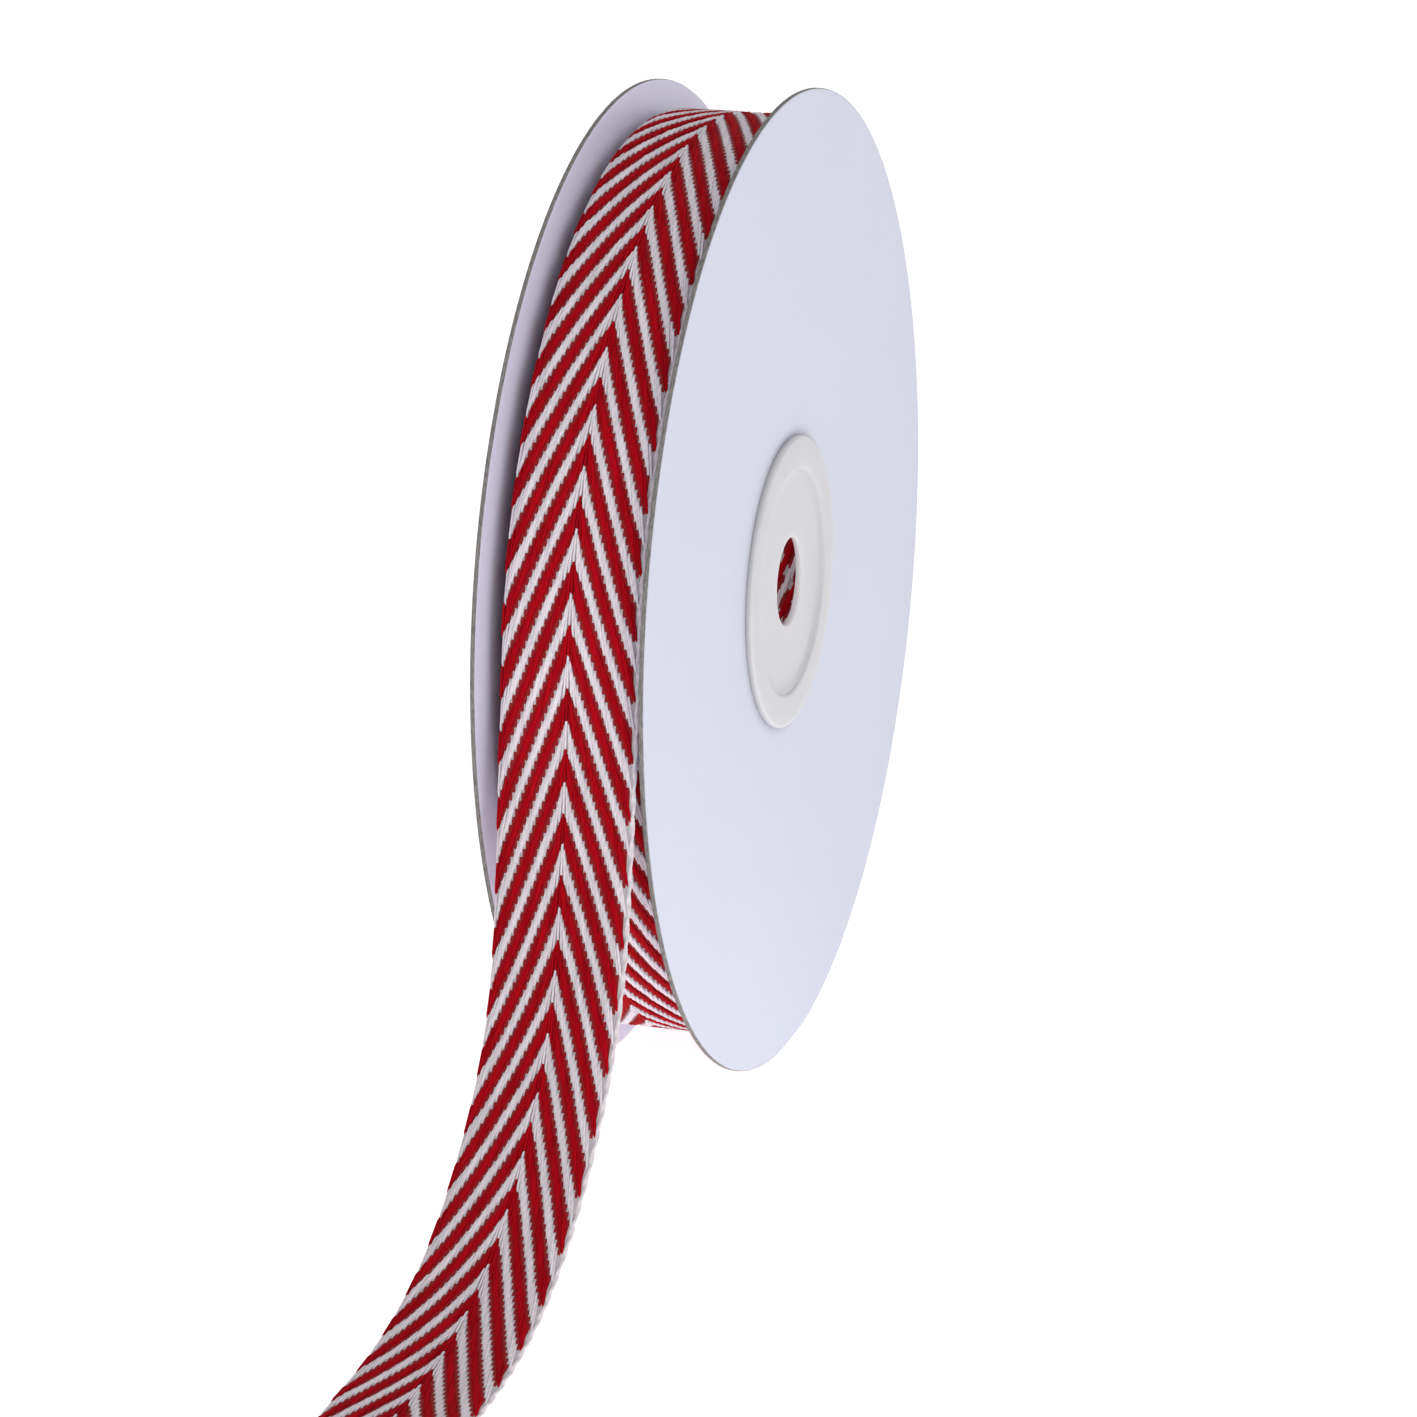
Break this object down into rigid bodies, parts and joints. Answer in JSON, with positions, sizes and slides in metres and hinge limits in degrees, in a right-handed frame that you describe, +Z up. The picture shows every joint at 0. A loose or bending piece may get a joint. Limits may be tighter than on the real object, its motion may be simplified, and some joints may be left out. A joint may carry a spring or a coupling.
{
  "type": "roll of herringbone tape",
  "caption": "Roll of chevron-woven herringbone tape on a reel of two card discs with plastic hub plugs, its loose end hanging off the front and lying flat.",
  "frame": {"origin": "on the ground, under the middle of the whole object's box", "axes": "+X along the reel's axis, through the right-hand disc; +Y away from the loose end, along the length; +Z up"},
  "size_m": [0.019, 0.1824, 0.1047],
  "materials": {
    "disc_card": "smooth coated white card",
    "plug_plastic": "semi-gloss moulded white plastic",
    "wound_tape": "red and white woven chevrons",
    "loose_tape": "red and white woven chevrons"
  },
  "bodies": {
    "root": {"card_disc_left": "disc_card", "card_disc_right": "disc_card", "hub_plug_left": "plug_plastic", "hub_plug_right": "plug_plastic", "tape_winding": "wound_tape", "tape_tail": "loose_tape"}
  },
  "joints": []
}
